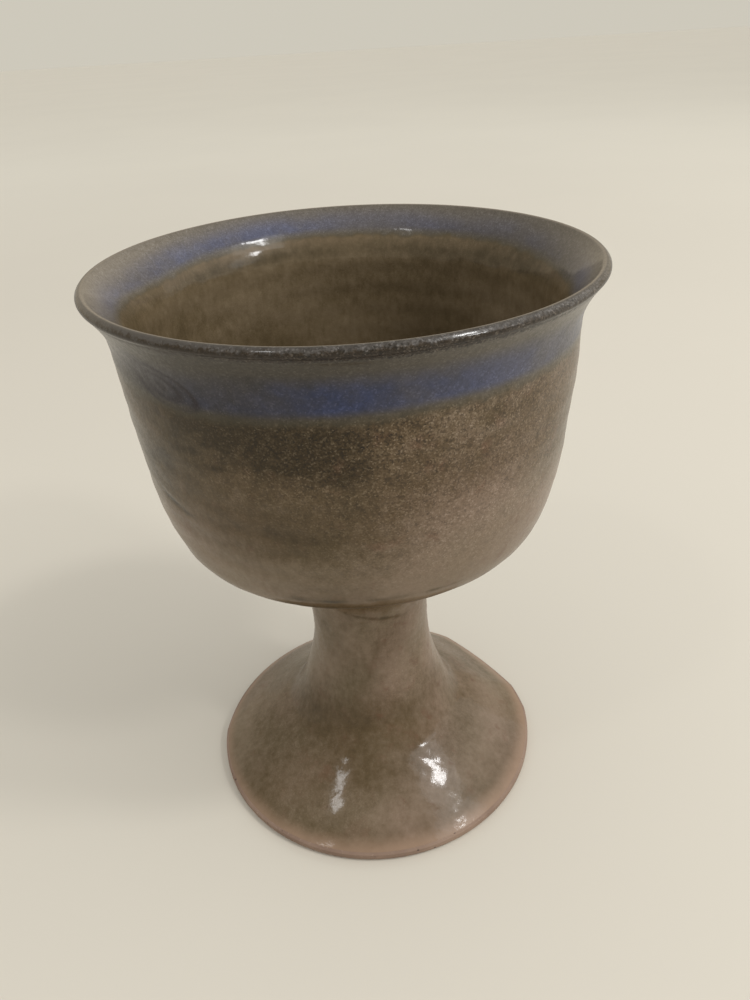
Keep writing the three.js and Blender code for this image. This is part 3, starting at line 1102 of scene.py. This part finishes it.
# Clay of the pedestal: the foot ring, the wall, and where the hollow starts and the foot's slope ends
pedestalClayValues = {
    "ringWidth": 5.4,
    "ringRound": 0.8,
    "wall": 3.9,
    "hollowStart": 6.0,
    "hollowFoot": 2.2,
    "easing": 0.3,
}


def plainRows(points):
    # Rows of a section turned round Z without relief
    return spread(points[:, 0:1] + 0 * azimuths, points[:, 1:2] + 0 * azimuths, azimuths)


def makePedestalClay(values):
    # Outside under the glaze, top under the slip, bore and hollow back to the flat foot ring
    bare = np.linspace(0, glazeStart, 16)[:-1]
    covered = spaced(glazeStart, collarAt - 1.5, 0.9)
    places, depths = np.r_[bare, covered], np.r_[0 * bare, coatDepth(covered)]
    outer = surfaceGrid(places[:, None] + 0 * azimuths, azimuths, depths[:, None])
    boreRadius = stemRadius - skin - values["wall"]
    top = plainRows(np.concatenate([
        straight(at(slipHigh[0], flareTop + 8), at(slipHigh[0], pedestalTop), 6),
        straight(at(boreRadius, pedestalTop), at(boreRadius, flareTop + 0.5), 12),
    ]))
    hollowPlaces = spaced(values["hollowStart"], flareTopAt - 1, 1.1)[::-1]
    hollow = lookUp(hollowPlaces, along, line - outward * (skin + values["wall"]))
    hollow = hollow[hollow[:, 1] > values["hollowFoot"]]
    ringIn = footRadius - values["ringWidth"]
    ringOut = footRadius - pedestalLine["edgeRound"]
    rounded, easing = values["ringRound"], values["easing"]
    lastSlope = straight(hollow[-1], at(ringIn - easing, 1.0), 8)[1:]
    ring = arc(at(ringIn + rounded, rounded), rounded, 180, 270, 6)
    floorRing = straight(at(ringIn + rounded + easing, 0), at(ringOut - easing, 0), 5)
    under = plainRows(np.concatenate([hollow, lastSlope, ring, floorRing]))
    piece = writeMesh("pedestalClay", np.concatenate([outer, top, under]), {}, True, stonewareClay)
    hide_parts("pedestal")


makePedestalClay(pedestalClayValues)

# CAD nodes that stay get the clay finishes
finishes = {"bowl": stonewareClay, "joint_collar": stonewareClay, "luting_slip": slipClay}
for nodeName, finish in finishes.items():
    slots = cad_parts[nodeName].data.materials
    slots.clear()
    slots.append(finish)
print("clay made")

# Floor, light and backdrop. The floor grows paler away from the goblet, where the lamps light it less.
studio = {
    "nearFloor": (0.645, 0.600, 0.508),
    "farFloor": (0.77, 0.73, 0.625),
    "paleFrom": 0.3,
    "paleAt": 1.6,
    "softLight": 0.80,
    "roomSeen": (0.72, 0.62, 0.46),
    "floorSize": 9.0,
    "lampDistance": 1.5,
}
# Soft round lamps: azimuth and elevation in degrees, width in metres, and watts
lamps = {
    "rightLamp": (-22.5, 55.0, 0.17, 3.3),
    "frontLamp": (-32.0, 39.0, 0.17, 3.0),
    "leftLamp": (-139.5, 57.0, 0.13, 0.65),
    "rightGlow": (-27.0, 52.0, 0.65, 2.3),
    "rightSoftbox": (5.0, 25.0, 1.6, 3.9),
    "litWall": (-25.0, 28.0, 0.45, 0.7),
}


def makeFloor(values):
    # A wide square whose colour blends from near to far with the distance from the goblet
    half = values["floorSize"]
    mesh = bpy.data.meshes.new("paleFloor")
    corners = [(-half, -half, 0), (half, -half, 0), (half, half, 0), (-half, half, 0)]
    mesh.from_pydata(corners, [], [(0, 1, 2, 3)])
    material, tree, shader, coords = newMaterial("paleFloor")
    away = vectorCalc(tree, "LENGTH", {0: coords})["Value"]
    pale = between(tree, away, values["paleFrom"], values["paleAt"])
    colour = blend(tree, pale, values["nearFloor"], values["farFloor"])
    soft = between(tree, noise(tree, coords, 3, 3), 0.35, 0.65, 0.985, 1.0)
    colour = shaded(tree, colour, soft)
    feed(tree, shader, {"Base Color": colour, "Roughness": 0.6, "Specular IOR Level": 0.2})
    mesh.materials.append(material)
    floor = newObject("paleFloor", mesh)


def makeWorld(values):
    # Diffuse light comes evenly from all round. The camera sees what the far floor looks like, and
    # reflections show the warm walls of a room.
    world = bpy.data.worlds.new("softStudio")
    bpy.context.scene.world = world
    world.use_nodes = True
    tree = world.node_tree
    tree.nodes.clear()
    path = put(tree, "ShaderNodeLightPath", {})
    mirrored = calc(tree, "MAXIMUM", path.outputs["Is Glossy Ray"], path.outputs["Is Transmission Ray"])
    light = values["softLight"]
    farFloor = tuple(light * part for part in values["farFloor"])
    colour = blend(tree, mirrored, (light, light, light), values["roomSeen"])
    colour = blend(tree, path.outputs["Is Camera Ray"], colour, farFloor)
    background = put(tree, "ShaderNodeBackground", {"Color": colour, "Strength": 1.0})
    put(tree, "ShaderNodeOutputWorld", {"Surface": background.outputs[0]})


def makeLamp(name, azimuth, elevation, across, watts):
    # It looks at the middle of the goblet's height
    data = bpy.data.lights.new(name, "AREA")
    data.shape = "DISK"
    data.size = across
    data.energy = watts
    lamp = newObject(name, data)
    turn, rise = math.radians(azimuth), math.radians(elevation)
    way = Vector((math.cos(turn) * math.cos(rise), math.sin(turn) * math.cos(rise), math.sin(rise)))
    lamp.location = Vector((0, 0, crestHeight * mm / 2)) + way * studio["lampDistance"]
    lamp.rotation_mode = "QUATERNION"
    lamp.rotation_quaternion = way.to_track_quat("Z", "Y")


makeFloor(studio)
makeWorld(studio)
for lampName, lampValues in lamps.items():
    makeLamp(lampName, *lampValues)
bpy.context.scene.view_settings.view_transform = "Standard"
print("studio made")
